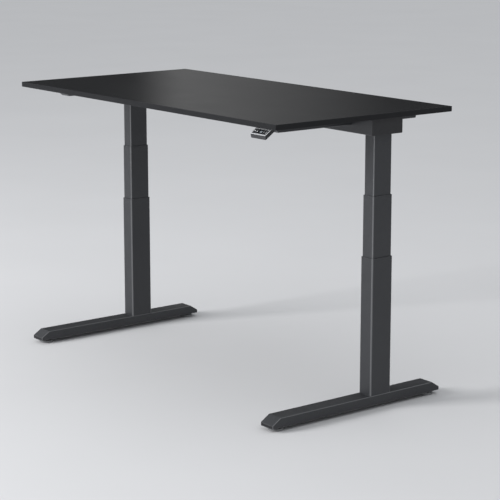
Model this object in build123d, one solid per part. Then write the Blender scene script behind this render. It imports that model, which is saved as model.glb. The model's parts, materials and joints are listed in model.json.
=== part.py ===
"""Height adjustable standing desk.

Two motor driven, three-stage columns lift a crossbeam and a desktop. The frame is millimetres, +Z up,
-Y towards the user, +X to the user's right, with the origin on the floor under the desktop's centre.
The desk stands at a height for standing work, and everything that slides is drawn at that height.
"""
from math import cos, pi, sin
import os

from build123d import *

os.makedirs("parts", exist_ok=True)

# ---------------------------------------------------------------- driving dimensions
desk_width = 1600.0
desk_depth = 800.0
desk_height = 1058.0            # top of the desktop above the floor, as drawn
desk_thickness = 19.0
band_thickness = 1.5
band_edge_radius = 1.0
travel_down = 422.0             # how far the desktop can sink from where it is drawn

column_x = 744.0                # column axis from the middle of the desk
column_y = 103.0                # the columns stand behind the middle of the desk

tube_width = 62.0               # outer tube, across the desk
tube_depth = 96.0               # outer tube, front to back
tube_corner = 7.0               # outer tube; each tube inside it is one step sharper
tube_corner_step = 1.0
tube_wall = 1.7
tube_gap = 1.5                  # clearance between one tube and the next
outer_tube_top = 546.0
middle_tube_span = (282.0, 765.5)
inner_tube_bottom = 511.0

pad_thickness = 1.2             # slide pads that fill most of the clearance between tubes
pad_height = 40.0
pad_setback = 3.0               # from a tube's mouth to its pads
pad_half_depth_share = 0.33     # half a side pad's width, as a share of the tube's depth
pad_half_width_share = 0.28     # half a front pad's width, as a share of the tube's width

foot_length = 780.0
foot_width = 66.0
foot_bottom = 14.0
foot_top = 49.0
foot_nose_top = 27.0
foot_slope_length = 35.0
foot_wall = 2.5
foot_edge_radius = 2.5

glide_radius = 27.5
glide_pad_height = 9.0
glide_inset = 40.0              # glide axis from the end of the foot
glide_stud_radius = 4.0
glide_stud_top = 34.0

beam_depth = 140.0
beam_height = 57.0
beam_length = 1574.0
beam_sheet = 2.4
beam_lip = 16.0
beam_corner = 4.0
beam_cap_thickness = 3.0

arm_x = 652.0
arm_width = 56.0
arm_front = -320.0              # the front end has a long slope, to keep clear of the user's knees
arm_back = 347.0
arm_height = 30.0
arm_nose = 5.0
arm_front_slope = 30.0
arm_back_slope = 8.0

base_plate_thickness = 8.0
bearing_plate_thickness = 12.0
carrier_thickness = 8.0
top_plate_thickness = 12.0

fixed_spindle_radius = 5.0
fixed_spindle_top = 440.0
lift_spindle_radius = 12.0
lift_spindle_bore = 9.0
lift_spindle_top = 690.0
drive_tube_flats = 15.0         # hexagon, across flats
drive_tube_bore = 5.6
drive_tube_bottom = 540.0
drive_journal_radius = 7.5
lift_nut_radius = 17.0
lift_nut_flange_radius = 20.5
lift_nut_height = 44.0

motor_axis_y = -25.0            # worm and motor axis from the column axis
motor_axis_z = 1006.0
motor_radius = 21.0
motor_length = 70.0
wheel_radius = 19.5
wheel_teeth = 24
worm_radius = 5.2
worm_half_length = 14.0

control_box_length = 300.0
control_box_depth = 110.0
control_box_bottom = 1000.0
inlet_x = -100.0

keypad_x = 704.0
keypad_width = 80.0
keypad_front_y = -399.0
keypad_back_y = -343.0
keypad_face_bottom = 1015.5     # lower edge of the slanted face
keypad_face_length = 31.4
keypad_face_rise = 34.0         # degrees that the face leans back from level
key_size = (11.0, 18.0)
key_places = (-29.5, -17.0, 17.0, 29.5)
display_size = (18.0, 12.0)

running_gap = 0.05              # radial clearance of a shaft in its bore
free_gap = 0.3                  # clearance between parts that pass each other
screw_gap = 0.3                 # radial clearance of a screw in its hole
end_gap = 0.5                   # clearance at the end of a shaft or pin

# ---------------------------------------------------------------- dimensions that follow
desk_bottom = desk_height - desk_thickness
beam_bottom = desk_bottom - beam_height
beam_floor_top = beam_bottom + beam_sheet
sheet_seat = desk_bottom - beam_sheet       # underside of every sheet that is screwed to the desktop
foot_end = foot_length / 2
glide_y = foot_end - glide_inset
tube_step = tube_wall + tube_gap
base_plate_top = foot_top + base_plate_thickness
middle_bottom, middle_top = middle_tube_span
legs = {"left": -1, "right": 1}
both = tuple(legs.values())
ends = {"front": -1, "back": 1}


# ---------------------------------------------------------------- shapes used again and again
def block(x, y, z):
    """A box between the given pairs of x, y and z."""
    size = [high - low for low, high in (x, y, z)]
    centre = [(high + low) / 2 for low, high in (x, y, z)]
    return Pos(*centre) * Box(*size)


def rod(radius, z, at=(0, 0)):
    """An upright cylinder between two heights."""
    return Pos(at[0], at[1], (z[0] + z[1]) / 2) * Cylinder(radius, z[1] - z[0])


def ring(outer, inner, z, at=(0, 0)):
    """An upright tube between two heights."""
    return rod(outer, z, at) - rod(inner, z, at)


def rod_x(radius, x, at=(0, 0)):
    """A cylinder along X, between two places, with its axis at the given y and z."""
    return Pos((x[0] + x[1]) / 2, at[0], at[1]) * Rot(0, 90, 0) * Cylinder(radius, x[1] - x[0])


def rod_y(radius, y, at=(0, 0)):
    """A cylinder along Y, between two places in either order, with its axis at the given x and z."""
    return Pos(at[0], (y[0] + y[1]) / 2, at[1]) * Rot(90, 0, 0) * Cylinder(radius, abs(y[1] - y[0]))


def rounded_bar(width, depth, corner, z):
    """An upright bar of rounded rectangular section."""
    return Pos(0, 0, z[0]) * extrude(RectangleRounded(width, depth, corner), z[1] - z[0])


def hexagon_bar(flats, z, at=(0, 0)):
    """An upright hexagonal bar, measured across its flats."""
    outline = RegularPolygon(flats / 2, 6, major_radius=False)
    return Pos(at[0], at[1], z[0]) * extrude(outline, z[1] - z[0])


def side_profile(points, x, inset=0.0):
    """A solid with the given (y, z) outline, drawn inwards by the inset, between two places along X."""
    outline = Plane.YZ * make_face(Polyline(*points, close=True))
    if inset:
        outline = offset(outline, -inset, kind=Kind.INTERSECTION)
    return Pos(x[0], 0, 0) * extrude(outline, x[1] - x[0], dir=(1, 0, 0))


def about(middle, half):
    """The pair of places half a width to either side of a middle."""
    return middle - half, middle + half


def corners(x, y):
    """The four places at plus and minus x and y."""
    return [(i * x, j * y) for i in (-1, 1) for j in (-1, 1)]


def on_circle(radius, turn):
    """The place at this share of a turn round a circle."""
    return radius * cos(2 * pi * turn), radius * sin(2 * pi * turn)


def to_leg(shape, side, y=column_y):
    """Move a shape that is drawn for a right leg at the origin to the left or right leg."""
    if side < 0:
        shape = mirror(shape, about=Plane.YZ)
    return Pos(side * column_x, y, 0) * shape


def on_both_legs(shapes, y=column_y):
    """The same shapes at the left and at the right leg."""
    return [to_leg(shape, side, y) for side in both for shape in shapes]


def save(node, *shapes):
    """Write the solids of one node to its STEP file."""
    solids = [solid for shape in shapes for solid in shape.solids()]
    whole = solids[0] if len(solids) == 1 else Compound(children=solids)
    export_step(whole, f"parts/{node}.step")


# ---------------------------------------------------------------- feet and glides
column_bolt_places = corners(16.0, 28.0)
column_bolt_radius = 4.0
column_bolt_head = (6.5, 8.0)               # radius and height
column_bolt_socket = (6.0, 4.0)             # hexagon across flats, and depth
bolt_access_radius = 8.0
insert_radius = 7.0
insert_height = 18.0
insert_flange = (10.0, 2.0)                 # radius and thickness
glide_edge_radius = 3.0
glide_floor_chamfer = 1.0
glide_hexagon = 19.0
plug_depth = 12.0
plug_setback = 2.0                          # how far the end plug sits inside the foot's end
plug_gap = 0.2
plug_wall = 2.0


def foot_outline():
    """The (y, z) outline of a foot seen from the side, with a sloped nose at each end."""
    shoulder = foot_end - foot_slope_length
    back = [(shoulder, foot_top), (foot_end, foot_nose_top), (foot_end, foot_bottom)]
    front = [(-y, z) for y, z in reversed(back)]
    return front + back


def nose_opening(y, gap=0.0):
    """The space inside the low nose of a foot, between two places along Y."""
    half = foot_width / 2 - foot_wall - gap
    return block((-half, half), sorted(y), (foot_bottom + foot_wall + gap, foot_nose_top - foot_wall - gap))


def foot_rail():
    """A box-section foot with sloped noses, open at both ends, with holes for its bolts and glides."""
    half = foot_width / 2
    rail = side_profile(foot_outline(), (-half, half))
    rail = fillet(rail.edges().filter_by(Plane.YZ), foot_edge_radius)
    rail -= side_profile(foot_outline(), (foot_wall - half, half - foot_wall), foot_wall)
    floor = (foot_bottom, foot_bottom + foot_wall)
    for x, y in column_bolt_places:
        place = (x, y + column_y)
        rail -= rod(column_bolt_radius + screw_gap, (foot_top - foot_wall, foot_top), place)
        rail -= rod(bolt_access_radius, floor, place)
    for end in ends.values():
        rail -= rod(insert_radius, floor, (0, end * glide_y))
        rail -= nose_opening((end * (foot_end - foot_wall - 1), end * foot_end))
    return rail


def foot_end_plug(end):
    """The moulded plug that closes one end of a foot, set back behind the edge of its sheet."""
    outer = end * (foot_end - plug_setback)
    plug = nose_opening((outer, outer - end * plug_depth), plug_gap)
    hollow = nose_opening((outer - end * plug_wall, outer - end * plug_depth), plug_gap + plug_wall)
    return plug - hollow


def foot_insert():
    """The threaded insert that a glide's stud turns in."""
    bore = glide_stud_radius + running_gap
    flange_bottom = foot_bottom + foot_wall
    body = ring(insert_radius, bore, (foot_bottom, foot_bottom + insert_height))
    return body + ring(insert_flange[0], bore, (flange_bottom, flange_bottom + insert_flange[1]))


def glide():
    """A levelling glide: round pad, hexagon neck and threaded stud."""
    pad = rod(glide_radius, (0, glide_pad_height))
    pad = fillet(pad.edges().group_by(Axis.Z)[-1], glide_edge_radius)
    pad = chamfer(pad.edges().group_by(Axis.Z)[0], glide_floor_chamfer)
    neck_top = foot_bottom - free_gap
    neck = hexagon_bar(glide_hexagon, (glide_pad_height, neck_top))
    return pad + neck + rod(glide_stud_radius, (neck_top, glide_stud_top))


def column_bolt(place):
    """A bolt that holds a column's base plate to its foot, put in from below."""
    radius, height = column_bolt_head
    flats, depth = column_bolt_socket
    head_top = foot_top - foot_wall
    head_bottom = head_top - height
    head = rod(radius, (head_bottom, head_top), place)
    head -= hexagon_bar(flats, (head_bottom, head_bottom + depth), place)
    return head + rod(column_bolt_radius, (head_top, base_plate_top), place)


for side_name, side in legs.items():
    save(f"{side_name}_foot_rail", to_leg(foot_rail(), side, 0))
    for end_name, end in ends.items():
        save(f"{side_name}_{end_name}_glide", Pos(side * column_x, end * glide_y, 0) * glide())
save("foot_end_plugs", *on_both_legs([foot_end_plug(end) for end in ends.values()], 0))
save("foot_inserts", *[Pos(x, y, 0) * foot_insert() for x, y in corners(column_x, glide_y)])
save("column_bolts", *on_both_legs([column_bolt(place) for place in column_bolt_places]))


# ---------------------------------------------------------------- column tubes and slide pads
fixed_spindle_flange = (11.0, 5.0)          # radius and thickness


def tube_size(stage):
    """Outside width, outside depth and outside corner radius of stage 0, 1 or 2, outermost first."""
    shrink = 2 * tube_step * stage
    return tube_width - shrink, tube_depth - shrink, tube_corner - tube_corner_step * stage


def bore_size(stage):
    """Inside width, depth and corner radius of a stage."""
    width, depth, corner = tube_size(stage)
    return width - 2 * tube_wall, depth - 2 * tube_wall, corner - tube_wall


def column_tube(stage, z):
    """One rectangular tube of the column."""
    return rounded_bar(*tube_size(stage), z) - rounded_bar(*bore_size(stage), z)


def bore_plate(stage, z):
    """A plate that fills the bore of a stage."""
    return rounded_bar(*bore_size(stage), z)


def pads_on(width, depth, z, outward):
    """Four slide pads on a rectangle's sides, standing outward (1) or inward (-1) from it."""
    half_depth = pad_half_depth_share * depth
    half_width = pad_half_width_share * width
    shapes = []
    for i in (-1, 1):
        x = sorted((i * width / 2, i * (width / 2 + outward * pad_thickness)))
        y = sorted((i * depth / 2, i * (depth / 2 + outward * pad_thickness)))
        shapes.append(block(x, (-half_depth, half_depth), z))
        shapes.append(block((-half_width, half_width), y, z))
    return shapes


def pads_in_bore(stage, top):
    """Pads just below a tube's mouth that guide the next tube."""
    width, depth, _ = bore_size(stage)
    return pads_on(width, depth, (top - pad_setback - pad_height, top - pad_setback), -1)


def pads_round_tube(stage, bottom):
    """Pads round a tube's foot that run in the tube outside it."""
    width, depth, _ = tube_size(stage)
    return pads_on(width, depth, (bottom + pad_setback, bottom + pad_setback + pad_height), 1)


def base_plate():
    """The plate welded into the foot of the outer tube, with tapped holes."""
    span = (foot_top, base_plate_top)
    plate = bore_plate(0, span)
    for place in column_bolt_places:
        plate -= rod(column_bolt_radius + running_gap, span, place)
    return plate - rod(fixed_spindle_radius + running_gap, span)


def fixed_spindle():
    """The lower spindle: it stands on the base plate and never turns."""
    radius, thickness = fixed_spindle_flange
    flange = rod(radius, (base_plate_top, base_plate_top + thickness))
    return rod(fixed_spindle_radius, (foot_top, fixed_spindle_top)) + flange


for side_name, side in legs.items():
    save(f"{side_name}_outer_tube", to_leg(column_tube(0, (foot_top, outer_tube_top)), side))
    save(f"{side_name}_middle_tube", to_leg(column_tube(1, middle_tube_span), side))
    save(f"{side_name}_inner_tube", to_leg(column_tube(2, (inner_tube_bottom, beam_bottom)), side))
    middle_pads = pads_in_bore(1, middle_top) + pads_round_tube(1, middle_bottom)
    save(f"{side_name}_middle_pads", *[to_leg(pad, side) for pad in middle_pads])
save("outer_pads", *on_both_legs(pads_in_bore(0, outer_tube_top)))
save("inner_pads", *on_both_legs(pads_round_tube(2, inner_tube_bottom)))
save("base_plates", *on_both_legs([base_plate()]))
save("fixed_spindles", *on_both_legs([fixed_spindle()]))


# ---------------------------------------------------------------- spindles, nuts and drive tube
journal_radius = 11.0
bush_radius = 15.0
bush_flange = (18.0, 1.7)                   # radius and thickness
keeper_radius = 13.5                        # the ring under the bearing plate that holds the spindle
spindle_tail = 5.5                          # spindle below the foot of the middle tube
spindle_nut_length = 32.0
drive_bush_length = 22.0
drive_bush_gap = 0.15
nut_lobes = 6
nut_notch_radius = 6.0
nut_notch_circle = 23.5                     # distance from the axis to each notch's centre
journal_bottom = beam_bottom - 36.0         # the hexagon ends here and the round journal starts
wheel_span = about(motor_axis_z, 7.0)
wheel_hub_radius = 12.0
wheel_hub_span = (motor_axis_z - 14.0, motor_axis_z + 11.0)
tooth_gap_radius = 1.1
lid_span = (beam_floor_top + 34.6, beam_floor_top + 37.6)
drive_pin_radius = 4.0
bearing_plate_top = middle_bottom + bearing_plate_thickness
bush_top = bearing_plate_top + bush_flange[1]
spindle_shoulder = bush_top + free_gap
spindle_bottom = middle_bottom - spindle_tail
drive_bore_top = fixed_spindle_top + travel_down + 18.0


def bearing_plate():
    """The plate in the foot of the middle tube, with the bronze thrust bush that carries the spindle."""
    span = (middle_bottom, bearing_plate_top)
    plate = bore_plate(1, span) - rod(bush_radius, span)
    bore = journal_radius + running_gap
    bush = ring(bush_radius, bore, span) + ring(bush_flange[0], bore, (bearing_plate_top, bush_top))
    return [plate, bush]


def lift_spindle():
    """The hollow upper spindle: it turns in the middle tube and lifts the inner tube."""
    thread = rod(lift_spindle_radius, (spindle_shoulder, lift_spindle_top))
    journal = rod(journal_radius, (spindle_bottom, spindle_shoulder))
    keeper = rod(keeper_radius, (spindle_bottom, middle_bottom - end_gap))
    return thread + journal + keeper - rod(lift_spindle_bore, (spindle_bottom, lift_spindle_top))


def spindle_bushes():
    """Inside the hollow spindle: the nut that climbs the fixed spindle, and the hexagon drive bush."""
    nut_span = (spindle_bottom, spindle_bottom + spindle_nut_length)
    nut = ring(lift_spindle_bore, fixed_spindle_radius + running_gap, nut_span)
    bush_span = (lift_spindle_top - drive_bush_length, lift_spindle_top)
    bush = rod(lift_spindle_bore, bush_span) - hexagon_bar(drive_tube_flats + 2 * drive_bush_gap, bush_span)
    return [nut, bush]


def lift_nut():
    """The nut at the foot of the inner tube, with a lobed flange."""
    flange_span = (inner_tube_bottom, inner_tube_bottom + carrier_thickness)
    nut_span = (inner_tube_bottom, inner_tube_bottom + lift_nut_height)
    flange = rod(lift_nut_flange_radius, flange_span)
    for lobe in range(nut_lobes):
        place = on_circle(nut_notch_circle, lobe / nut_lobes)
        flange -= rod(nut_notch_radius, flange_span, place)
    nut = flange + rod(lift_nut_radius, (flange_span[1], nut_span[1]))
    return nut - rod(lift_spindle_radius + running_gap, nut_span)


def nut_carrier():
    """The plate welded into the inner tube above the lift nut's flange."""
    span = (inner_tube_bottom + carrier_thickness, inner_tube_bottom + 2 * carrier_thickness)
    return bore_plate(2, span) - rod(lift_nut_radius, span)


def drive_tube():
    """The hollow hexagon bar that hangs from the gearbox and turns the lift spindle."""
    pin_bottom = lid_span[0] - end_gap
    bar = hexagon_bar(drive_tube_flats, (drive_tube_bottom, journal_bottom))
    bar += rod(drive_journal_radius, (journal_bottom, pin_bottom))
    bar += rod(drive_pin_radius, (pin_bottom, lid_span[1] - end_gap))
    return bar - rod(drive_tube_bore, (drive_tube_bottom, drive_bore_top))


def worm_wheel():
    """The toothed wheel on top of the drive tube."""
    wheel = rod(wheel_radius, wheel_span)
    for tooth in range(wheel_teeth):
        wheel -= rod(tooth_gap_radius, wheel_span, on_circle(wheel_radius, tooth / wheel_teeth))
    wheel += rod(wheel_hub_radius, wheel_hub_span)
    return wheel - rod(drive_journal_radius, wheel_hub_span)


for side_name, side in legs.items():
    save(f"{side_name}_bearing_plate", *[to_leg(shape, side) for shape in bearing_plate()])
    save(f"{side_name}_lift_spindle", to_leg(lift_spindle(), side))
    save(f"{side_name}_spindle_bushes", *[to_leg(shape, side) for shape in spindle_bushes()])
    save(f"{side_name}_drive_tube", to_leg(drive_tube(), side))
    save(f"{side_name}_worm_wheel", to_leg(worm_wheel(), side))
save("lift_nuts", *on_both_legs([lift_nut()]))


# ---------------------------------------------------------------- gearbox and motor
gearbox_bolt_places = corners(15.0, 32.0)
gearbox_bolt_radius = 3.0
gearbox_bolt_head = (5.0, 5.0)              # radius and height
gearbox_bolt_socket = (5.0, 3.0)            # hexagon across flats, and depth
gearbox_bolt_reach = 10.0                   # thread in the top plate
gearbox_flange_half = (30.0, 39.0)
gearbox_flange_top = beam_floor_top + 4.0
gearbox_half = (28.0, 26.0)
gearbox_chamfer = 11.0
gearbox_floor = 2.0
wheel_room_radius = 21.0
worm_room_radius = 6.2
worm_room = (-24.0, 22.0)
worm_tunnel_radius = 12.5
worm_tunnel_end = 28.0
shaft_end = 25.0
motor_front = -30.0
motor_back = motor_front - motor_length
motor_axis = (motor_axis_y, motor_axis_z)
motor_wall = 2.0
motor_plate = 3.0
motor_cap_length = 8.0
motor_cap_edge = 2.0
motor_cap_bearing = 5.0                     # depth of the shaft's seat in the cap
motor_shaft_radius = 3.0
rotor_radius = motor_radius - 4.0
rotor_span = (motor_back + 8.0, motor_front - 14.0)
plate_bore = 9.0                            # hole round the drive tube in the top plate and beam
collar_radii = (13.5, 17.0)                 # at the bottom and at the top
collar_height = 21.0


def octagon_bar(z):
    """The gearbox outline: a rectangle with its corners cut off."""
    bar = block(about(0, gearbox_half[0]), about(0, gearbox_half[1]), z)
    return chamfer(bar.edges().filter_by(Axis.Z), gearbox_chamfer)


def gearbox_housing():
    """The cast housing with its bolted flange and the tunnel for the worm."""
    room_bottom = gearbox_flange_top + gearbox_floor
    flange_z = (beam_floor_top, gearbox_flange_top)
    housing = block(about(0, gearbox_flange_half[0]), about(0, gearbox_flange_half[1]), flange_z)
    housing += octagon_bar((gearbox_flange_top, lid_span[0]))
    housing += rod_x(worm_tunnel_radius, (motor_front, worm_tunnel_end), motor_axis)
    housing -= rod(wheel_room_radius, (room_bottom, lid_span[0]))
    housing -= rod_x(worm_room_radius, worm_room, motor_axis)
    housing -= rod_x(motor_shaft_radius + running_gap, (motor_front, shaft_end + end_gap), motor_axis)
    housing -= rod(drive_journal_radius + running_gap, (beam_floor_top, room_bottom))
    for place in gearbox_bolt_places:
        housing -= rod(gearbox_bolt_radius + screw_gap, flange_z, place)
    return housing


def gearbox_lid():
    """The lid that closes the gearbox and holds the drive tube's end pin."""
    return octagon_bar(lid_span) - rod(drive_pin_radius + running_gap, lid_span)


def motor_can():
    """The drawn steel motor can."""
    plate_back = motor_front - motor_plate
    can = rod_x(motor_radius, (motor_back, motor_front), motor_axis)
    can -= rod_x(motor_radius - motor_wall, (motor_back, plate_back), motor_axis)
    return can - rod_x(motor_shaft_radius + running_gap, (plate_back, motor_front), motor_axis)


def motor_end_cap():
    """The moulded cap that closes the motor and carries its back bearing."""
    cap = rod_x(motor_radius, (motor_back - motor_cap_length, motor_back), motor_axis)
    cap = fillet(cap.edges().group_by(Axis.X)[0], motor_cap_edge)
    seat = (motor_back - motor_cap_bearing, motor_back)
    return cap - rod_x(motor_shaft_radius + running_gap, seat, motor_axis)


def motor_shaft():
    """The motor shaft with its worm and wound rotor."""
    shaft = rod_x(motor_shaft_radius, (motor_back - motor_cap_bearing + 1, shaft_end), motor_axis)
    shaft += rod_x(worm_radius, about(0, worm_half_length), motor_axis)
    return shaft + rod_x(rotor_radius, rotor_span, motor_axis)


def top_plate():
    """The tapped plate welded into the top of the inner tube."""
    span = (beam_bottom - top_plate_thickness, beam_bottom)
    plate = bore_plate(2, span) - rod(plate_bore, span)
    for place in gearbox_bolt_places:
        plate -= rod(gearbox_bolt_radius + running_gap, span, place)
    return plate


def retainer_collar():
    """The tapered bearing collar under the top plate."""
    high = beam_bottom - top_plate_thickness
    low = high - collar_height
    collar = Pos(0, 0, (low + high) / 2) * Cone(*collar_radii, collar_height)
    return collar - rod(drive_journal_radius + running_gap, (low, high))


def gearbox_bolt(place):
    """A bolt from the gearbox flange, through the beam, into the top plate."""
    radius, height = gearbox_bolt_head
    flats, depth = gearbox_bolt_socket
    head_top = gearbox_flange_top + height
    head = rod(radius, (gearbox_flange_top, head_top), place)
    head -= hexagon_bar(flats, (head_top - depth, head_top), place)
    return head + rod(gearbox_bolt_radius, (beam_bottom - gearbox_bolt_reach, gearbox_flange_top), place)


save("gearboxes", *on_both_legs([gearbox_housing(), gearbox_lid()]))
save("motor_cans", *on_both_legs([motor_can()]))
save("motor_end_caps", *on_both_legs([motor_end_cap()]))
save("retainer_collars", *on_both_legs([retainer_collar()]))
save("column_plates", *on_both_legs([top_plate(), nut_carrier()]))
save("gearbox_bolts", *on_both_legs([gearbox_bolt(place) for place in gearbox_bolt_places]))
for side_name, side in legs.items():
    save(f"{side_name}_motor_shaft", to_leg(motor_shaft(), side))


# ---------------------------------------------------------------- crossbeam, arms and desktop
beam_front, beam_back = about(column_y, beam_depth / 2)
beam_end = beam_length / 2
arm_saddle_top = desk_bottom - 7.4          # the arm's sides are cut down to here where they cross the beam
arm_window_bottom = desk_bottom - 7.8       # and the beam's walls down to here
arm_bolt_z = desk_bottom - 20.0
arm_bolt_radius = 3.0
arm_bolt_places = (-18.0, 18.0)
arm_bolt_head = (5.2, 3.5)                  # radius and height
arm_bolt_head_edge = 2.0
arm_bolt_socket = (2.0, 1.9)                # radius and depth
arm_bolt_nut = (5.5, 5.0)                   # radius and thickness
arm_bolt_reach = 8.0                        # from the wall's inner face to the bolt's tip
arm_edge_radius = 2.0
arm_front_web = 7.0                         # solid length at each end
arm_back_web = 5.0
arm_hollow_overrun = 10.0
lip_screw_y = (beam_front - beam_lip / 2, beam_back + beam_lip / 2)
lip_screw_x = [i * x for x in (130.0, 360.0, 570.0, 755.0) for i in (-1, 1)]
arm_screw_y = (-275.0, -110.0, 215.0, 305.0)
keypad_screw_y = keypad_back_y - 6.0
keypad_screws = [(keypad_x + x, keypad_screw_y) for x in (-29.0, 29.0)]
control_ear = 14.0
control_screws = [(x, column_y + y) for x, y in corners((control_box_length + control_ear) / 2, 35.0)]
window_gap = 0.5
inlet_half = (15.0, 11.0)
inlet_z = desk_bottom - 20.0
wood_screw_radius = 2.0
wood_screw_head = (4.4, 2.6)                # radius and height
wood_screw_head_edge = 1.4
wood_screw_cross = (2.2, 0.5, 1.2)          # half length, half width and depth
wood_screw_reach = 12.0
cap_gap = 0.2
cap_rim_length = 10.0
cap_rim_wall = 2.0
cap_edge_radius = 1.0

screw_places = [(x, y) for x in lip_screw_x for y in lip_screw_y]
screw_places += [(i * arm_x, y) for i in (-1, 1) for y in arm_screw_y]
screw_places += keypad_screws + control_screws


def round_bottom(shape, radius):
    """Round the two lowest edges that run along X."""
    return fillet(shape.edges().filter_by(Axis.X).group_by(Axis.Z)[0], radius)


def crossbeam():
    """A folded channel, open at the top, with lips that are screwed to the desktop."""
    ends_x = about(0, beam_end)
    beam = block(ends_x, (beam_front, beam_back), (beam_bottom, desk_bottom))
    beam = round_bottom(beam, beam_corner)
    inside = block(ends_x, (beam_front + beam_sheet, beam_back - beam_sheet), (beam_floor_top, desk_bottom))
    beam -= round_bottom(inside, beam_corner - beam_sheet)
    lips_y = (beam_front - beam_lip, beam_back + beam_lip)
    for lip_y in ((lips_y[0], beam_front), (beam_back, lips_y[1])):
        beam += block(ends_x, lip_y, (sheet_seat, desk_bottom))
    for i in (-1, 1):
        window_x = about(i * arm_x, arm_width / 2 + window_gap)
        beam -= block(window_x, lips_y, (arm_window_bottom, desk_bottom))
        for x in arm_bolt_places:
            beam -= rod_y(arm_bolt_radius + screw_gap, (beam_front, beam_back), (i * arm_x + x, arm_bolt_z))
        beam -= rod(plate_bore, (beam_bottom, beam_floor_top), (i * column_x, column_y))
        for x, y in gearbox_bolt_places:
            place = (i * column_x + x, column_y + y)
            beam -= rod(gearbox_bolt_radius + screw_gap, (beam_bottom, beam_floor_top), place)
    for x in lip_screw_x:
        for y in lip_screw_y:
            beam -= rod(wood_screw_radius + screw_gap, (sheet_seat, desk_bottom), (x, y))
    inlet_span = about(inlet_x, inlet_half[0] + window_gap)
    inlet_rise = about(inlet_z, inlet_half[1] + window_gap)
    return beam - block(inlet_span, (beam_back - beam_sheet, beam_back), inlet_rise)


def beam_end_cap():
    """The moulded cap that closes one end of the crossbeam, with a rim that plugs into it."""
    outer_x = (beam_end, beam_end + beam_cap_thickness)
    cap = block(outer_x, (beam_front, beam_back), (beam_bottom, desk_bottom - free_gap))
    cap = round_bottom(cap, beam_corner)
    cap = fillet(cap.edges().group_by(Axis.X)[-1], cap_edge_radius)
    rim_x = (beam_end - cap_rim_length, beam_end)
    rim_y = (beam_front + beam_sheet + cap_gap, beam_back - beam_sheet - cap_gap)
    rim_z = (beam_floor_top + cap_gap, sheet_seat)
    rim = round_bottom(block(rim_x, rim_y, rim_z), beam_corner - beam_sheet)
    inner_y = (rim_y[0] + cap_rim_wall, rim_y[1] - cap_rim_wall)
    return cap + (rim - block(rim_x, inner_y, (rim_z[0] + cap_rim_wall, rim_z[1] - cap_rim_wall)))


def support_arm(centre_x):
    """A pressed channel across the desk's depth, sloped at its ends and bolted to the beam's walls."""
    low = desk_bottom - arm_height
    nose = desk_bottom - arm_nose
    outline = [(arm_front, desk_bottom), (arm_front, nose), (arm_front + arm_front_slope, low)]
    outline += [(arm_back - arm_back_slope, low), (arm_back, nose), (arm_back, desk_bottom)]
    half = arm_width / 2
    arm = side_profile(outline, (-half, half))
    side_edges = arm.edges().filter_by(Plane.YZ)
    arm = fillet(side_edges - side_edges.group_by(Axis.Z)[-1], arm_edge_radius)
    hollow_low = low - arm_hollow_overrun
    lengthening = (sheet_seat - hollow_low) / (nose - low)
    hollow_front = arm_front + arm_front_web
    hollow_back = arm_back - arm_back_web
    hollow = [(hollow_front, sheet_seat), (hollow_front + arm_front_slope * lengthening, hollow_low)]
    hollow += [(hollow_back - arm_back_slope * lengthening, hollow_low), (hollow_back, sheet_seat)]
    arm -= side_profile(hollow, (beam_sheet - half, half - beam_sheet))
    arm -= block((-half, half), (beam_front, beam_back), (low, arm_saddle_top))
    for wall, outward in ((beam_front, -1), (beam_back, 1)):
        tab = (wall, wall + outward * beam_sheet)
        arm += block((beam_sheet - half, half - beam_sheet), sorted(tab), (low, sheet_seat))
        for x in arm_bolt_places:
            arm -= rod_y(arm_bolt_radius + screw_gap, tab, (x, arm_bolt_z))
    for y in arm_screw_y:
        arm -= rod(wood_screw_radius + screw_gap, (sheet_seat, desk_bottom), (0, y))
    return Pos(centre_x, 0, 0) * arm


def arm_bolt(x, wall, outward):
    """A bolt through an arm's tab and the beam's wall, with its nut inside the beam."""
    at = (x, arm_bolt_z)
    seat = wall + outward * beam_sheet
    inner_face = wall - outward * beam_sheet
    radius, height = arm_bolt_head
    head_end = seat + outward * height
    head = rod_y(radius, (seat, head_end), at)
    head = fillet(head.edges().sort_by(Axis.Y)[-1 if outward > 0 else 0], arm_bolt_head_edge)
    head -= rod_y(arm_bolt_socket[0], (head_end - outward * arm_bolt_socket[1], head_end), at)
    shank = rod_y(arm_bolt_radius, (seat, inner_face - outward * arm_bolt_reach), at)
    nut_span = (inner_face, inner_face - outward * arm_bolt_nut[1])
    nut = rod_y(arm_bolt_nut[0], nut_span, at) - rod_y(arm_bolt_radius, nut_span, at)
    return [head + shank, nut]


def wood_screw(place):
    """A pan-head screw up into the desktop."""
    radius, height = wood_screw_head
    length, width, depth = wood_screw_cross
    head_z = (sheet_seat - height, sheet_seat)
    head = rod(radius, head_z, place)
    head = fillet(head.edges().group_by(Axis.Z)[0], wood_screw_head_edge)
    for half_x, half_y in ((length, width), (width, length)):
        head -= block(about(place[0], half_x), about(place[1], half_y), (head_z[0], head_z[0] + depth))
    return head + rod(wood_screw_radius, (sheet_seat, desk_bottom + wood_screw_reach), place)


def board_block():
    """The plain board inside its edge band."""
    half_width = desk_width / 2 - band_thickness
    half_depth = desk_depth / 2 - band_thickness
    return block(about(0, half_width), about(0, half_depth), (desk_bottom, desk_height))


def desktop_board():
    """The laminated board, with pilot holes for every screw."""
    board = board_block()
    for place in screw_places:
        board -= rod(wood_screw_radius, (desk_bottom, desk_bottom + wood_screw_reach + end_gap), place)
    return board


def edge_band():
    """The band glued round the board's four edges."""
    band = block(about(0, desk_width / 2), about(0, desk_depth / 2), (desk_bottom, desk_height))
    return fillet(band.edges(), band_edge_radius) - board_block()


all_arm_bolts = []
for i in (-1, 1):
    for x in arm_bolt_places:
        for wall, outward in ((beam_front, -1), (beam_back, 1)):
            all_arm_bolts += arm_bolt(i * arm_x + x, wall, outward)

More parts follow.
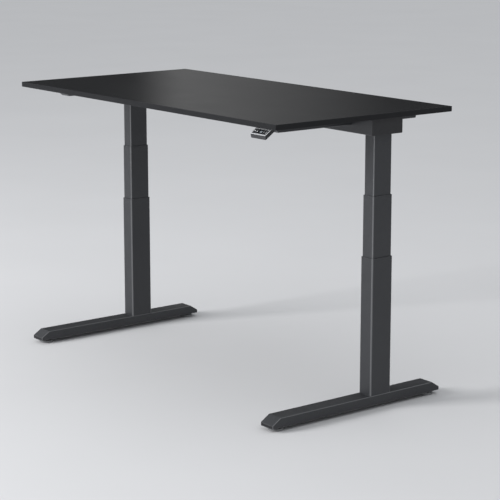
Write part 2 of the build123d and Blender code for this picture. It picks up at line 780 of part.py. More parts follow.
save("crossbeam", crossbeam())
save("beam_end_caps", beam_end_cap(), mirror(beam_end_cap(), about=Plane.YZ))
for side_name, side in legs.items():
    save(f"{side_name}_support_arm", support_arm(side * arm_x))
save("arm_bolts", *all_arm_bolts)
save("desktop_screws", *[wood_screw(place) for place in screw_places])
save("desktop_board", desktop_board())
save("edge_band", edge_band())


# ---------------------------------------------------------------- control box
control_wall = 2.5
control_corner = 6.0
control_edge = 2.0
control_x = about(0, control_box_length / 2)
control_y = about(column_y, control_box_depth / 2)
socket_places = (-24.0, -8.0, 8.0, 24.0)
socket_half = 5.0
socket_rise = (inlet_z - 5.0, inlet_z + 4.0)
board_half = (140.0, 48.0)
board_thickness = 1.6
board_top = control_box_bottom + 7.6
transformer_x = (-60.0, -10.0)
transformer_y = (column_y - 30.0, column_y + 20.0)
transformer_height = 24.0
capacitor_places = (20.0, 44.0)
capacitor_y = column_y - 20.0
capacitor_radius = 9.0
capacitor_height = 22.0
relay_places = (70.0, 94.0, 118.0)
relay_y = (column_y + 10.0, column_y + 34.0)
relay_half = 9.0
relay_height = 14.0
socket_wall = 1.0
socket_depth = 14.0
socket_height = 13.0
inlet_rim = (3.0, 4.0)                      # wall beside and above the recess
inlet_recess = 12.0
inlet_pin_radius = 1.2
inlet_pin_offset = 4.5
inlet_pin_setback = 3.0


def control_box():
    """The moulded case and the lid whose ears are screwed to the desktop."""
    case = block(control_x, control_y, (control_box_bottom, sheet_seat))
    case = fillet(case.edges().filter_by(Axis.Z), control_corner)
    case = fillet(case.edges().group_by(Axis.Z)[0], control_edge)
    inner_x = (control_x[0] + control_wall, control_x[1] - control_wall)
    inner_y = (control_y[0] + control_wall, control_y[1] - control_wall)
    case -= block(inner_x, inner_y, (control_box_bottom + control_wall, sheet_seat))
    back_wall = (inner_y[1], control_y[1])
    case -= block(about(inlet_x, inlet_half[0]), back_wall, about(inlet_z, inlet_half[1]))
    for place in socket_places:
        case -= block((control_x[0], inner_x[0]), about(column_y + place, socket_half), socket_rise)
    lid_x = (control_x[0] - control_ear, control_x[1] + control_ear)
    lid = block(lid_x, control_y, (sheet_seat, desk_bottom))
    lid = fillet(lid.edges().filter_by(Axis.Z), control_corner)
    for place in control_screws:
        lid -= rod(wood_screw_radius + screw_gap, (sheet_seat, desk_bottom), place)
    return [case, lid]


def control_board():
    """The circuit board with its transformer, two capacitors, three relays and four sockets."""
    sheet_z = (board_top - board_thickness, board_top)
    board = block(about(0, board_half[0]), about(column_y, board_half[1]), sheet_z)
    board += block(transformer_x, transformer_y, (board_top, board_top + transformer_height))
    for x in capacitor_places:
        board += rod(capacitor_radius, (board_top, board_top + capacitor_height), (x, capacitor_y))
    for x in relay_places:
        board += block(about(x, relay_half), relay_y, (board_top, board_top + relay_height))
    socket_x = (-board_half[0], socket_depth - board_half[0])
    for place in socket_places:
        socket_y = about(column_y + place, socket_half + socket_wall)
        board += block(socket_x, socket_y, (board_top, board_top + socket_height))
    return board


def mains_inlet():
    """The mains inlet: a recess with two pins, facing back through the beam's wall."""
    recess_y = (beam_back - inlet_recess, beam_back)
    body_y = (control_y[1] - control_wall, beam_back)
    inlet = block(about(inlet_x, inlet_half[0]), body_y, about(inlet_z, inlet_half[1]))
    recess_half = (inlet_half[0] - inlet_rim[0], inlet_half[1] - inlet_rim[1])
    inlet -= block(about(inlet_x, recess_half[0]), recess_y, about(inlet_z, recess_half[1]))
    for x in about(inlet_x, inlet_pin_offset):
        inlet += rod_y(inlet_pin_radius, (recess_y[0], beam_back - inlet_pin_setback), (x, inlet_z))
    return inlet


save("control_box", *control_box())
save("control_board", control_board())
save("mains_inlet", mains_inlet())


# ---------------------------------------------------------------- keypad
lean = keypad_face_rise * pi / 180
face_back_y = keypad_front_y + keypad_face_length * cos(lean)
face_top = keypad_face_bottom + keypad_face_length * sin(lean)
face_plane = Plane(
    origin=(keypad_x, (keypad_front_y + face_back_y) / 2, (keypad_face_bottom + face_top) / 2),
    x_dir=(1, 0, 0),
    z_dir=(0, -sin(lean), cos(lean)),
)
chin = (keypad_front_y + 3.5, 1001.5)       # (y, z) of the housing's lowest front corner
belly = (-359.0, 1026.0)                    # where its underside meets the upright back wall
back_wall_y = -355.0
shoulder_y = -369.0                         # where the face's top meets the desktop
keypad_edge_radius = 2.0
rim_width = 4.0
bezel_height = 0.8
pocket = (keypad_width - 2 * rim_width, keypad_face_length - 2 * rim_width)
pocket_depth = 8.0
panel_thickness = 1.5
key_corner = 1.0
key_rise = 0.6                              # how far a key stands out of the panel
key_bottom = -4.0
key_flange = 0.7
key_flange_top = -1.9
keypad_board_span = (-7.0, -5.4)
screw_well = (4.9, 12.0)                    # radius and depth of the room for a screw's head


def face_plate(width, height, z, x=0.0):
    """A plate centred on the keypad's face; z is measured out of the face."""
    return face_plane.location * block(about(x, width / 2), about(0, height / 2), z)


def keypad_housing():
    """The moulded wedge that hangs under the front edge."""
    outline = [(keypad_front_y, keypad_face_bottom), (face_back_y, face_top), (shoulder_y, desk_bottom)]
    outline += [(keypad_back_y, desk_bottom), (keypad_back_y, sheet_seat), (back_wall_y, sheet_seat)]
    outline += [belly, chin]
    housing = side_profile(outline, about(keypad_x, keypad_width / 2))
    side_edges = housing.edges().filter_by(Plane.YZ)
    chin_edges = side_edges.filter_by(lambda edge: edge.center().Z < keypad_face_bottom - 1)
    housing = fillet(chin_edges, keypad_edge_radius)
    housing -= face_plate(*pocket, (-pocket_depth, 0))
    for place in keypad_screws:
        housing -= rod(wood_screw_radius + screw_gap, (sheet_seat, desk_bottom), place)
        housing -= rod(screw_well[0], (sheet_seat - screw_well[1], sheet_seat), place)
    return housing


def keypad_bezel():
    """The bright frame round the keypad's face."""
    span = (0, bezel_height)
    return face_plate(keypad_width, keypad_face_length, span) - face_plate(*pocket, span)


def keypad_panel():
    """The dark panel with openings for the keys and the display."""
    panel = face_plate(*pocket, (-panel_thickness, 0))
    for x in key_places:
        panel -= face_plate(key_size[0] + 2 * free_gap, key_size[1] + 2 * free_gap, (-panel_thickness, 0), x)
    return panel - face_plate(*display_size, (-panel_thickness, 0))


def keypad_key(x):
    """One key, with a flange that keeps it behind the panel."""
    cap = face_plate(*key_size, (key_bottom, key_rise), x)
    cap = fillet(cap.edges().filter_by(Axis((0, 0, 0), face_plane.z_dir)), key_corner)
    flange_size = (key_size[0] + 2 * key_flange, key_size[1] + 2 * key_flange)
    return cap + face_plate(*flange_size, (key_bottom, key_flange_top), x)


save("keypad_housing", keypad_housing())
save("keypad_bezel", keypad_bezel())
save("keypad_panel", keypad_panel())
save("keypad_display", face_plate(*display_size, (-panel_thickness, -0.1)))
save("keypad_board", face_plate(*pocket, keypad_board_span))
for name, x in zip(("down", "up", "memory_1", "memory_2"), key_places):
    save(f"key_{name}", keypad_key(x))
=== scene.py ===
"""The looks of a height adjustable standing desk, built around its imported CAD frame.

Every CAD node keeps its place and gets a procedural finish. Pieces that the CAD leaves plain are
built here and ride on their bodies: the threads of the spindles and worms, the marks on the keys
and the digits of the display.
Lengths are in metres, in the frame of the CAD: +Z up, -Y towards the user, +X to the user's right.
"""

from math import cos, floor, pi, radians, sin
import json

import bmesh
import bpy
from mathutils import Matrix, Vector


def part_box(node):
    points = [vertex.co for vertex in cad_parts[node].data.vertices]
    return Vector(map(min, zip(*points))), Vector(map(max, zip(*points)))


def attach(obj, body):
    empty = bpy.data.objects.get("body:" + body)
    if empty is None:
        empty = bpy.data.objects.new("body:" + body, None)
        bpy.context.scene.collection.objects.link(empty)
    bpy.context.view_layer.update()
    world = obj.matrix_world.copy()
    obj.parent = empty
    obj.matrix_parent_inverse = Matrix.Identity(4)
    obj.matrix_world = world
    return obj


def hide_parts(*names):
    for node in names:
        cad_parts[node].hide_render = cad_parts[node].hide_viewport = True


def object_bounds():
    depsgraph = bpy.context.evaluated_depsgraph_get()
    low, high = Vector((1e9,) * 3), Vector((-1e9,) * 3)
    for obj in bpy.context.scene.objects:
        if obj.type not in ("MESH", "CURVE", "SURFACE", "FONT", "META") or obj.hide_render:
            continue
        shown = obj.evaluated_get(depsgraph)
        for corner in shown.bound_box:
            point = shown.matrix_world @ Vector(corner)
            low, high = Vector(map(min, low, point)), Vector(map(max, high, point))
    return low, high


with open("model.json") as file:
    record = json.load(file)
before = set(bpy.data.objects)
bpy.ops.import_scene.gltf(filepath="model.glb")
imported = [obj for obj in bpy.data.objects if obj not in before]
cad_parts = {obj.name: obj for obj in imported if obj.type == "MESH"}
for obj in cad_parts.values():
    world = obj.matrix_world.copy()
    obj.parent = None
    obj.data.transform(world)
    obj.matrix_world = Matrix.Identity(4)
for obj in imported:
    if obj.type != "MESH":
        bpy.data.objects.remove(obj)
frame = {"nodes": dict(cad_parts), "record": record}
cad_low, cad_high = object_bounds()

mm = 0.001
desk_centre = (cad_low + cad_high) / 2
legs = {"left": -1, "right": 1}


def middle_of(node):
    """The middle of a CAD node's box."""
    low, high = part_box(node)
    return (Vector(low) + Vector(high)) / 2


# ---------------------------------------------------------------- camera
camera_azimuth = 51.9           # degrees from straight in front, towards the user's right
camera_elevation = 11.9
camera_lens = 125.8
camera_distance = 6.651
camera_aim = desk_centre + Vector((0.070, 0.066, -0.068))


def towards(azimuth, elevation):
    """The unit vector from the desk to something at this azimuth and elevation in degrees."""
    turn, rise = radians(azimuth), radians(elevation)
    return Vector((sin(turn) * cos(rise), -cos(turn) * cos(rise), sin(rise)))


def add_camera():
    """The camera, seen from the user's right and a little above the desktop."""
    back = towards(camera_azimuth, camera_elevation)
    data = bpy.data.cameras.new("camera")
    data.lens = camera_lens
    data.clip_end = 200.0
    camera = bpy.data.objects.new("camera", data)
    camera.location = camera_aim + back * camera_distance
    camera.rotation_mode = "QUATERNION"
    camera.rotation_quaternion = (-back).to_track_quat("-Z", "Y")
    bpy.context.scene.collection.objects.link(camera)
    bpy.context.scene.camera = camera


# ---------------------------------------------------------------- a material and its patterns
class Look:
    """A procedural material: one Principled shader and the patterns that feed it."""

    def __init__(self, name, metallic=0.0, roughness=0.5, specular=0.5, coat=0.0, coat_roughness=0.2):
        self.material = bpy.data.materials.new(name)
        self.material.use_nodes = True
        self.tree = self.material.node_tree
        self.shader = self.tree.nodes["Principled BSDF"]
        self.shader.inputs["Metallic"].default_value = metallic
        self.shader.inputs["Roughness"].default_value = roughness
        self.shader.inputs["Specular IOR Level"].default_value = specular
        self.shader.inputs["Coat Weight"].default_value = coat
        self.shader.inputs["Coat Roughness"].default_value = coat_roughness
        self.geometry = self.node("ShaderNodeTexCoord")
        self.place = self.geometry.outputs["Object"]
        self.relief = None

    def node(self, kind, links=None, **settings):
        """Add a node with these properties, fed by these links."""
        node = self.tree.nodes.new(kind)
        for name, value in settings.items():
            setattr(node, name, value)
        for name, source in (links or {}).items():
            self.tree.links.new(source, node.inputs[name])
        return node

    def noise(self, scale, detail=2.0, roughness=0.5, stretch=(1, 1, 1), seed=0.0):
        """Soft noise with this many spots a metre; stretch below 1 draws it out along an axis."""
        moved = self.node("ShaderNodeMapping", {"Vector": self.place})
        moved.inputs["Scale"].default_value = stretch
        moved.inputs["Location"].default_value = (seed, seed * 1.7, seed * 0.6)
        node = self.node("ShaderNodeTexNoise", {"Vector": moved.outputs["Vector"]})
        node.inputs["Scale"].default_value = scale
        node.inputs["Detail"].default_value = detail
        node.inputs["Roughness"].default_value = roughness
        return node.outputs["Fac"]

    def spread(self, value, low, high, out_low=0.0, out_high=1.0):
        """Map a value from one range to another, held at its ends."""
        node = self.node("ShaderNodeMapRange", {"Value": value})
        ends = {"From Min": low, "From Max": high, "To Min": out_low, "To Max": out_high}
        for name, number in ends.items():
            node.inputs[name].default_value = number
        return node.outputs["Result"]

    def edges(self, width):
        """A mask that is 1 on outward edges and corners, about this wide."""
        inside = self.node("ShaderNodeAmbientOcclusion", samples=6, inside=True, only_local=True)
        inside.inputs["Distance"].default_value = width
        return self.spread(inside.outputs["AO"], 0.95, 0.6)

    def corners(self):
        """A value that is 0 on faces square to X and 0.5 in the middle of a rounded edge beside one."""
        across = self.node("ShaderNodeSeparateXYZ", {"Vector": self.geometry.outputs["Normal"]}).outputs["X"]
        square = self.times(across, across)
        rest = self.node("ShaderNodeMath", {1: square}, operation="SUBTRACT")
        rest.inputs[0].default_value = 1.0
        product = self.times(square, rest.outputs["Value"])
        return self.node("ShaderNodeMath", {0: product}, operation="SQRT").outputs["Value"]

    def times(self, first, second):
        """Two values multiplied."""
        return self.node("ShaderNodeMath", {0: first, 1: second}, operation="MULTIPLY").outputs["Value"]

    def mix(self, factor, first, second):
        """A blend of two colours, each a tuple or another node's output."""
        node = self.node("ShaderNodeMix", {"Factor": factor}, data_type="RGBA")
        for socket, source in ((node.inputs[6], first), (node.inputs[7], second)):
            if isinstance(source, tuple):
                socket.default_value = (*source, 1)
            else:
                self.tree.links.new(source, socket)
        return node.outputs[2]

    def colour(self, source):
        """Take the base colour from a pattern."""
        self.tree.links.new(source, self.shader.inputs["Base Color"])

    def rough(self, value):
        """Take the roughness from a pattern."""
        self.tree.links.new(value, self.shader.inputs["Roughness"])

    def bump(self, height, distance, strength=1.0):
        """Add relief of this height in metres."""
        links = {"Height": height}
        if self.relief is not None:
            links["Normal"] = self.relief
        node = self.node("ShaderNodeBump", links)
        node.inputs["Distance"].default_value = distance
        node.inputs["Strength"].default_value = strength
        self.relief = node.outputs["Normal"]
        self.tree.links.new(self.relief, self.shader.inputs["Normal"])


def paint(item, material):
    """Give one material to every slot of an object."""
    if not item.material_slots:
        item.data.materials.append(material)
    for slot in item.material_slots:
        slot.material = material


def shades(colour, amount):
    """A colour made darker and lighter by this share."""
    return tuple(c * (1 - amount) for c in colour), tuple(c * (1 + amount) for c in colour)


def brighter(colour, factor, lift=0.0):
    """A colour multiplied and lifted, held below white."""
    return tuple(min(1.0, c * factor + lift) for c in colour)


# ---------------------------------------------------------------- light and floor
wall_light = 0.38               # brightness of the surround near the horizon
ceiling_light = 1.0
wall_top = 0.25                 # the surround starts to brighten at this height of a unit direction
ceiling_start = 0.85
sky_colour = (0.96, 0.98, 1.0)
floor_size = 60.0
floor_tones = ((0.60, 0.60, 0.61), (0.63, 0.63, 0.64))
key_place = (-2.4, -7.5, 3.3)
key_size = (2.7, 2.7)
key_power = 700
key_aim_rise = 0.1              # above the desk's middle
strip_azimuth = 40
strip_distance = 4.5
strip_size = (0.25, 0.95)       # lower than the desktop, so the top never mirrors it
strip_power = 26
reflector_distance = 5.5
reflector_size = (9.0, 4.5)
reflector_dark = -0.075         # the card is dark up to here, a share of its width from its middle
reflector_bright = -0.045       # brightest here
reflector_faded = 0.12          # and faded out here
reflector_left = 0.05           # the share of its brightness that is left there
reflector_glow = (0.01, 0.28)
reflector_tones = ((0.01, 0.01, 0.01), (0.012, 0.012, 0.012))


def add_area_light(name, place, aim, size, power):
    """A soft rectangular lamp that the camera itself doesn't see."""
    data = bpy.data.lights.new(name, "AREA")
    data.shape = "RECTANGLE"
    data.size, data.size_y = size
    data.energy = power
    lamp = bpy.data.objects.new(name, data)
    lamp.location = place
    lamp.rotation_mode = "QUATERNION"
    lamp.rotation_quaternion = (Vector(aim) - Vector(place)).to_track_quat("-Z", "Y")
    lamp.visible_camera = False
    bpy.context.scene.collection.objects.link(lamp)
    return lamp


def add_surround():
    """A plain surround that is brighter overhead than at the horizon."""
    world = bpy.data.worlds.new("surround")
    world.use_nodes = True
    tree = world.node_tree
    shader = tree.nodes["Background"]
    shader.inputs["Color"].default_value = (*sky_colour, 1)
    direction = tree.nodes.new("ShaderNodeTexCoord")
    split = tree.nodes.new("ShaderNodeSeparateXYZ")
    ramp = tree.nodes.new("ShaderNodeMapRange")
    ramp.interpolation_type = "SMOOTHSTEP"
    steps = {"From Min": wall_top, "From Max": ceiling_start, "To Min": wall_light, "To Max": ceiling_light}
    for name, number in steps.items():
        ramp.inputs[name].default_value = number
    tree.links.new(direction.outputs["Generated"], split.inputs[0])
    tree.links.new(split.outputs["Z"], ramp.inputs["Value"])
    tree.links.new(ramp.outputs["Result"], shader.inputs["Strength"])
    bpy.context.scene.world = world


def add_floor():
    """A pale, matt floor."""
    bpy.ops.mesh.primitive_plane_add(size=floor_size, location=(0, 0, cad_low.z))
    floor = bpy.context.object
    floor.name = "floor"
    look = Look("floor_paint", roughness=0.8, specular=0.0)
    look.colour(look.mix(look.noise(1.3, detail=3), *floor_tones))
    paint(floor, look.material)


def add_reflector():
    """A tall card behind the desk, dark at one side, that only shows as a soft sheen on glossy surfaces."""
    width, height = reflector_size
    away = -towards(camera_azimuth, 0)
    middle = desk_centre + away * reflector_distance
    middle.z = desk_centre.z + height / 2
    bpy.ops.mesh.primitive_plane_add(size=1, location=middle)
    card = bpy.context.object
    card.name = "reflector"
    card.scale = (width, height, 1)
    card.rotation_mode = "QUATERNION"
    card.rotation_quaternion = (-away).to_track_quat("Z", "Y")
    look = Look("reflector_glow", roughness=1.0, specular=0.0)
    look.colour(look.mix(look.noise(1.0), *reflector_tones))
    across = look.node("ShaderNodeSeparateXYZ", {"Vector": look.place}).outputs["X"]
    rise = look.spread(across, reflector_dark, reflector_bright, *reflector_glow)
    fall = look.spread(across, reflector_bright, reflector_faded, 1.0, reflector_left)
    look.tree.links.new(look.times(rise, fall), look.shader.inputs["Emission Strength"])
    look.shader.inputs["Emission Color"].default_value = (1, 1, 1, 1)
    paint(card, look.material)
    card.visible_camera = card.visible_diffuse = card.visible_shadow = False


def add_studio():
    """The floor, the surround and the lamps."""
    bpy.context.scene.view_settings.view_transform = "Standard"
    add_surround()
    add_floor()
    key_aim = desk_centre + Vector((0, 0, key_aim_rise))
    key = add_area_light("key", key_place, key_aim, key_size, key_power)
    key.visible_glossy = False
    strip_place = desk_centre + towards(strip_azimuth, 0) * strip_distance
    strip = add_area_light("edge_strip", strip_place, desk_centre, strip_size, strip_power)
    strip.visible_diffuse = False
    add_reflector()


# ---------------------------------------------------------------- finishes
def laminate():
    """Graphite laminate: a fine pearl texture, faint mottling and the haze of hands."""
    look = Look("graphite_laminate", specular=0.3)
    darker, lighter = shades((0.019, 0.0195, 0.021), 0.12)
    base = look.mix(look.noise(2.2, detail=5, roughness=0.6), darker, lighter)
    pearls = look.spread(look.noise(900, detail=3), 0.58, 0.80, 0, 0.7)
    look.colour(look.mix(pearls, base, (0.036, 0.037, 0.040)))
    look.rough(look.spread(look.noise(4.5, detail=6, roughness=0.62, seed=4.0), 0.3, 0.7, 0.24, 0.27))
    look.bump(look.noise(1300, detail=2, seed=2.0), 0.04 * mm)
    return look.material


def edge_band():
    """The laminate's edge band: the same tone, a little smoother, with thin rubbed corners."""
    look = Look("graphite_edge_band", specular=0.15)
    darker, lighter = shades((0.015, 0.0155, 0.017), 0.08)
    base = look.mix(look.noise(6, detail=4), darker, lighter)
    rubbed = look.times(look.edges(0.8 * mm), look.spread(look.noise(60, detail=4), 0.35, 0.7))
    look.colour(look.mix(rubbed, base, (0.07, 0.07, 0.075)))
    look.rough(look.spread(look.noise(25, detail=4, seed=3.0), 0.3, 0.7, 0.42, 0.52))
    look.bump(look.noise(1500, detail=2), 0.03 * mm)
    return look.material


def powder_coat():
    """Graphite powder coat on steel: orange peel, fine sparkle, edges that are slightly worn and a painted
    highlight on rounded edges.
    """
    look = Look("graphite_powder_coat", metallic=0.25, specular=0.5)
    base = look.mix(look.noise(5, detail=4), *shades((0.041, 0.0425, 0.0465), 0.08))
    flakes = look.spread(look.noise(2600, detail=1), 0.66, 0.78, 0, 0.5)
    base = look.mix(flakes, base, (0.15, 0.154, 0.165))
    # painted highlight: rounded edges beside faces square to X, such as the columns' corners and the feet's
    # long edges, are lightened to stand in for the light they catch
    painted_corner_highlight = look.spread(look.corners(), 0.12, 0.45, 0, 0.8)
    base = look.mix(painted_corner_highlight, base, (0.17, 0.173, 0.18))
    worn = look.times(look.edges(1.2 * mm), look.spread(look.noise(45, detail=5), 0.40, 0.75, 0, 0.7))
    look.colour(look.mix(worn, base, (0.20, 0.205, 0.215)))
    look.rough(look.spread(look.noise(30, detail=5, seed=5.0), 0.3, 0.7, 0.36, 0.46))
    look.bump(look.noise(420, detail=2, seed=1.0), 0.12 * mm, 0.6)
    look.bump(look.noise(1900, detail=1), 0.03 * mm)
    return look.material


def moulded(name, colour, rough=(0.42, 0.58), grain=0.06 * mm, rim=1.9, specular=0.45):
    """Moulded plastic: spark-eroded grain, slight flow clouds and paler rubbed edges."""
    look = Look(name, specular=specular)
    base = look.mix(look.noise(18, detail=4), *shades(colour, 0.10))
    rubbed = look.times(look.edges(0.8 * mm), look.spread(look.noise(120, detail=4), 0.3, 0.7, 0, 0.8))
    look.colour(look.mix(rubbed, base, brighter(colour, rim, 0.01)))
    look.rough(look.spread(look.noise(70, detail=5, seed=2.0), 0.3, 0.7, *rough))
    look.bump(look.noise(1100, detail=2), grain)
    return look.material


def bare_metal(name, colour, rough, stretch=(1, 1, 1), lines=0.02 * mm, metallic=1.0):
    """Plated, rolled, cast or lacquered metal: drawn lines, mottled roughness, stains and brighter edges."""
    look = Look(name, metallic=metallic)
    base = look.mix(look.noise(40, detail=5), *shades(colour, 0.08))
    stains = look.spread(look.noise(22, detail=6, roughness=0.65, seed=7.0), 0.55, 0.75, 0, 0.25)
    base = look.mix(stains, base, brighter(colour, 0.5))
    look.colour(look.mix(look.edges(0.8 * mm), base, brighter(colour, 1.25)))
    look.rough(look.spread(look.noise(90, detail=5, stretch=stretch, seed=3.0), 0.3, 0.7, *rough))
    look.bump(look.noise(500, detail=3, stretch=stretch), lines)
    return look.material


def circuit_board():
    """Green solder mask with paler tracks."""
    look = Look("solder_mask", specular=0.5, coat=0.3)
    tracks = look.node("ShaderNodeTexBrick", {"Vector": look.place})
    tracks.inputs["Scale"].default_value = 90
    tracks.inputs["Mortar Size"].default_value = 0.03
    base = look.mix(look.noise(60, detail=3), *shades((0.015, 0.11, 0.05), 0.2))
    look.colour(look.mix(tracks.outputs["Fac"], base, (0.03, 0.22, 0.10)))
    look.rough(look.spread(look.noise(200), 0.3, 0.7, 0.25, 0.4))
    look.bump(look.noise(900), 0.03 * mm)
    return look.material


def glossy(name, colour, rough=(0.08, 0.16), coat=0.6):
    """A smooth glossy cover with faint finger haze."""
    look = Look(name, specular=0.5, coat=coat, coat_roughness=0.05)
    look.colour(look.mix(look.noise(50, detail=4), *shades(colour, 0.12)))
    look.rough(look.spread(look.noise(140, detail=5), 0.3, 0.7, *rough))
    look.bump(look.noise(400, detail=2), 0.006 * mm)
    return look.material


def lit_segments():
    """The pale light of the display's digits, a little uneven from one end to the other."""
    look = Look("lit_segments", roughness=0.4)
    look.colour(look.mix(look.noise(700, detail=2), (0.42, 0.47, 0.50), (0.52, 0.56, 0.60)))
    look.shader.inputs["Emission Color"].default_value = (0.8, 0.9, 1.0, 1)
    look.shader.inputs["Emission Strength"].default_value = 0.2
    return look.material


def all_finishes():
    """Every material slot of the record with its finish."""
    along_x = (0.06, 1, 1)
    along_z = (1, 1, 0.06)
    return {
        "laminate": laminate(),
        "edge_band": edge_band(),
        "frame_coat": powder_coat(),
        "black_plastic": moulded("black_plastic", (0.018, 0.018, 0.020)),
        "glide_plastic": moulded("glide_plastic", (0.19, 0.192, 0.198), rough=(0.40, 0.55)),
        "black_screws": bare_metal("black_zinc", (0.06, 0.06, 0.065), (0.30, 0.45)),
        "zinc_steel": bare_metal("zinc_plate", (0.58, 0.59, 0.60), (0.28, 0.42)),
        "spindle_steel": bare_metal("spindle_steel", (0.50, 0.50, 0.51), (0.18, 0.32), along_z),
        "motor_steel": bare_metal("motor_steel", (0.42, 0.43, 0.45), (0.25, 0.38), along_x),
        "slide_plastic": moulded("acetal", (0.72, 0.72, 0.68), rough=(0.25, 0.35), rim=1.05),
        "nut_bronze": bare_metal("nut_bronze", (0.62, 0.40, 0.18), (0.22, 0.38)),
        "cast_aluminium": bare_metal("cast_aluminium", (0.60, 0.61, 0.62), (0.38, 0.52), lines=0.09 * mm),
        "circuit_board": circuit_board(),
        "keypad_plastic": moulded("keypad_plastic", (0.026, 0.027, 0.030), rough=(0.34, 0.46)),
        "bezel_metal": bare_metal("bezel_metal", (0.72, 0.73, 0.75), (0.32, 0.42), along_x, metallic=0.4),
        "keypad_face": glossy("keypad_face", (0.016, 0.017, 0.019), rough=(0.22, 0.34), coat=0.2),
        "display_window": glossy("display_window", (0.008, 0.009, 0.011)),
        "key_plastic": moulded("key_plastic", (0.035, 0.036, 0.040), rough=(0.30, 0.42)),
    }


def finish_cad_nodes(finishes):
    """Give every CAD node the finish of its material slot."""
    for part in frame["record"]["subparts"]:
        paint(frame["nodes"][part["node"]], finishes[part["material_slot"]])


def add_piece(name, mesh, body, material):
    """Add a mesh that is already in place as a piece that rides on a body."""
    piece = bpy.data.objects.new(name, mesh)
    bpy.context.scene.collection.objects.link(piece)
    paint(piece, material)
    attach(piece, body)
    return piece


# ---------------------------------------------------------------- marks and digits on the keypad
face_lean = radians(34)         # how far the keypad's face leans back from level
face_right = Vector((1, 0, 0))
face_up = Vector((0, cos(face_lean), sin(face_lean)))
face_out = Vector((0, -sin(face_lean), cos(face_lean)))
bezel_height = 0.8 * mm
key_rise = 0.6 * mm
window_level = -0.1 * mm        # the display's surface, measured out of the face
face_centre = middle_of("keypad_bezel") - face_out * bezel_height / 2
mark_height = 0.15 * mm
digit_height = 0.05 * mm
mark_chamfer = 0.9              # size of a mark's top face against its foot
mark_wall = 0.6                 # share of a mark's height that is upright
down_arrow = [(-3.2, 2.2), (0, -3.0), (3.2, 2.2)]
up_arrow = [(-3.2, -2.2), (3.2, -2.2), (0, 3.0)]
bar_half = (1.6, 0.55)          # half length and half width of a bar of a digit, in mm
bars = {                        # middle of each bar of a digit, in mm, and whether it stands upright
    "top": (0, 3.4, False), "middle": (0, 0, False), "bottom": (0, -3.4, False),
    "upper_left": (-1.7, 1.7, True), "upper_right": (1.7, 1.7, True),
    "lower_left": (-1.7, -1.7, True), "lower_right": (1.7, -1.7, True),
}
digits = {
    "0": ["top", "upper_left", "upper_right", "lower_left", "lower_right", "bottom"],
    "1": ["upper_right", "lower_right"],
    "2": ["top", "upper_right", "middle", "lower_left", "bottom"],
    "6": ["top", "upper_left", "middle", "lower_left", "lower_right", "bottom"],
}
digit_pitch = 5.3               # from one digit of the display to the next, in mm


def on_face(across, up, out):
    """The place on the keypad's face, measured from the face's middle."""
    return face_centre + face_right * across + face_up * up + face_out * out


def add_raised_shape(mesh, outline, across, level, height):
    """Add a chamfered plate with this outline in mm to a mesh, standing on the face at a level."""
    middle = [sum(point[i] for point in outline) / len(outline) for i in (0, 1)]
    rings = []
    for share, out in ((1, 0), (1, mark_wall * height), (mark_chamfer, height)):
        points = [[m + (p - m) * share for p, m in zip(point, middle)] for point in outline]
        rings.append([mesh.verts.new(on_face(across + x * mm, y * mm, level + out)) for x, y in points])
    mesh.faces.new(list(reversed(rings[0])))
    mesh.faces.new(rings[-1])
    count = len(outline)
    for lower, upper in zip(rings, rings[1:]):
        for i in range(count):
            j = (i + 1) % count
            mesh.faces.new((lower[i], lower[j], upper[j], upper[i]))


def bar_outline(bar, shift=0.0):
    """The outline in mm of one bar of a digit, pointed at both ends; shift moves it to the right."""
    x, y, upright = bars[bar]
    length, width = bar_half
    points = [(-length, 0), (width - length, -width), (length - width, -width)]
    points += [(length, 0), (length - width, width), (width - length, width)]
    if upright:
        points = [(-b, a) for a, b in points]
    return [(x + shift + a, y + b) for a, b in points]


def closed_mesh(name, mesh):
    """Turn a bmesh into mesh data with its faces outward."""
    bmesh.ops.recalc_face_normals(mesh, faces=mesh.faces)
    data = bpy.data.meshes.new(name)
    mesh.to_mesh(data)
    mesh.free()
    return data


def add_key_marks():
    """An arrow or a digit that stands on top of each key."""
    ink = moulded("key_mark_ink", (0.74, 0.75, 0.76), rough=(0.35, 0.5), rim=1.05)
    marks = {
        "down": [down_arrow],
        "up": [up_arrow],
        "memory_1": [bar_outline(bar, -bars[bar][0]) for bar in digits["1"]],
        "memory_2": [bar_outline(bar) for bar in digits["2"]],
    }
    for key, outlines in marks.items():
        across = middle_of(f"key_{key}").x - face_centre.x
        mesh = bmesh.new()
        for outline in outlines:
            add_raised_shape(mesh, outline, across, key_rise, mark_height)
        add_piece(f"{key}_mark", closed_mesh(f"{key}_mark", mesh), f"{key}_key", ink)


def add_display_digits():
    """The desk's height in centimetres on the display."""
    mesh = bmesh.new()
    for place, digit in enumerate("106"):
        across = (place - 1) * digit_pitch * mm
        for bar in digits[digit]:
            add_raised_shape(mesh, bar_outline(bar), across, window_level, digit_height)
    add_piece("display_digits", closed_mesh("display_digits", mesh), "top", lit_segments())


# ---------------------------------------------------------------- threads
turns = 28                      # points round a turned piece
thread_pitch = 4 * mm
thread_lead = 16 * mm           # four starts
worm_pitch = 5.1 * mm
worm_lead = 15.3 * mm           # three starts
fixed_radius, fixed_depth = 5 * mm, 0.9 * mm
fixed_flange_radius = 11 * mm
fixed_flange_span = (8 * mm, 13 * mm)           # above the spindle's foot
lift_radius, lift_depth, lift_bore = 12 * mm, 1.2 * mm, 9 * mm
lift_collar_radius, lift_collar_height = 13.5 * mm, 5 * mm
lift_journal_radius, lift_journal_height = 11 * mm, 19.5 * mm
shaft_radius, rotor_radius = 3 * mm, 17 * mm
rotor_span = (12 * mm, 60 * mm)                 # from the shaft's inner end
worm_radius, worm_depth, worm_reach = 5.2 * mm, 1.6 * mm, 14 * mm
column_y = middle_of("left_outer_tube").y
column_x = middle_of("right_outer_tube").x


def wave(turn):
    """The share of the thread's depth at this share of a pitch: a crest, a flank, a root and a flank."""
    height = abs(turn - floor(turn) - 0.5) * 2
    return min(1.0, max(0.0, height * 2.0 - 0.5))


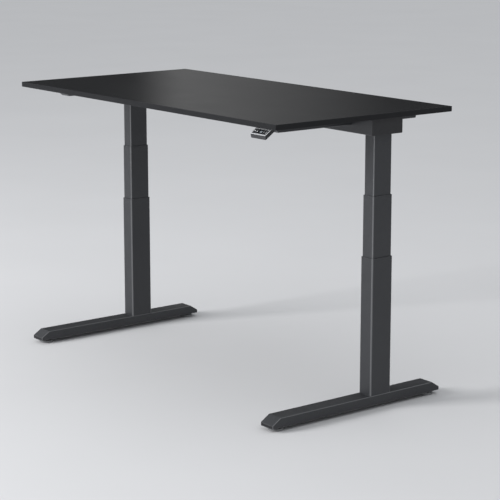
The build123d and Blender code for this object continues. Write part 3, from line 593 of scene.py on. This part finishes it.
def threaded(start, end, radius, depth, pitch, lead):
    """Rings of a thread between two places along an axis, fading in at its ends."""
    steps = max(2, round((end - start) / pitch * 8))
    rings = []
    for step in range(steps + 1):
        along = start + (end - start) * step / steps
        fade = min(1.0, (along - start) / pitch, (end - along) / pitch)
        cuts = [wave(along / pitch - i / turns * round(lead / pitch)) * depth * fade for i in range(turns)]
        rings.append((along, [radius - cut for cut in cuts]))
    return rings


def plain(start, end, radius):
    """Two rings of a plain cylinder."""
    return [(start, [radius] * turns), (end, [radius] * turns)]


def add_turned(mesh, rings, place, hollow):
    """Join rings into a closed skin; place turns (along, across, across) into a point in the frame."""
    loops = []
    for along, radii in rings:
        angles = [2 * pi * i / turns for i in range(turns)]
        points = [place(along, r * cos(angle), r * sin(angle)) for r, angle in zip(radii, angles)]
        loops.append([mesh.verts.new(point) for point in points])
    pairs = list(zip(loops, loops[1:]))
    if hollow:
        pairs.append((loops[-1], loops[0]))
    else:
        mesh.faces.new(loops[0])
        mesh.faces.new(loops[-1])
    for lower, upper in pairs:
        for i in range(turns):
            j = (i + 1) % turns
            mesh.faces.new((lower[i], lower[j], upper[j], upper[i]))


def upright(side):
    """Places about the axis of one column."""
    return lambda along, x, y: Vector((side * column_x + x, column_y + y, along))


def lying(side, middle):
    """Places about the axis of one motor shaft, which lies along X."""
    return lambda along, y, z: Vector((side * along, middle.y + y, middle.z + z))


def add_spindles(material):
    """Threaded spindles in place of the plain ones."""
    low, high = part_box("fixed_spindles")
    flange = [low[2] + rise for rise in fixed_flange_span]
    mesh = bmesh.new()
    for side in legs.values():
        rings = plain(low[2], flange[0], fixed_radius) + plain(*flange, fixed_flange_radius)
        rings += threaded(flange[1], high[2], fixed_radius, fixed_depth, thread_pitch, thread_lead)
        add_turned(mesh, rings, upright(side), False)
    data = closed_mesh("fixed_spindle_threads", mesh)
    piece = add_piece("fixed_spindle_threads", data, "base", material)
    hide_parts("fixed_spindles")
    for name, side in legs.items():
        low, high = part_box(f"{name}_lift_spindle")
        collar_top = low[2] + lift_collar_height
        shoulder = low[2] + lift_journal_height
        rings = plain(low[2], collar_top, lift_collar_radius)
        rings += plain(collar_top, shoulder, lift_journal_radius)
        rings += threaded(shoulder, high[2], lift_radius, lift_depth, thread_pitch, thread_lead)
        rings += plain(high[2], low[2], lift_bore)
        mesh = bmesh.new()
        add_turned(mesh, rings, upright(side), True)
        data = closed_mesh(f"{name}_spindle_thread", mesh)
        piece = add_piece(f"{name}_spindle_thread", data, f"{name}_spindle", material)
        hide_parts(f"{name}_lift_spindle")


def add_worms(material):
    """Motor shafts with a cut worm in place of the plain ones."""
    for name, side in legs.items():
        low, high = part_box(f"{name}_motor_shaft")
        middle = middle_of(f"{name}_motor_shaft")
        near, far = sorted((low[0] * side, high[0] * side))
        rotor = [near + along for along in rotor_span]
        worm = (column_x - worm_reach, column_x + worm_reach)
        rings = plain(near, rotor[0], shaft_radius) + plain(*rotor, rotor_radius)
        rings += plain(rotor[1], worm[0], shaft_radius)
        rings += threaded(*worm, worm_radius, worm_depth, worm_pitch, worm_lead)
        rings += plain(worm[1], far, shaft_radius)
        mesh = bmesh.new()
        add_turned(mesh, rings, lying(side, middle), False)
        data = closed_mesh(f"{name}_worm", mesh)
        piece = add_piece(f"{name}_worm", data, f"{name}_motor", material)
        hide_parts(f"{name}_motor_shaft")


finishes = all_finishes()
add_camera()
add_studio()
finish_cad_nodes(finishes)
add_key_marks()
add_display_digits()
add_spindles(finishes["spindle_steel"])
add_worms(finishes["spindle_steel"])
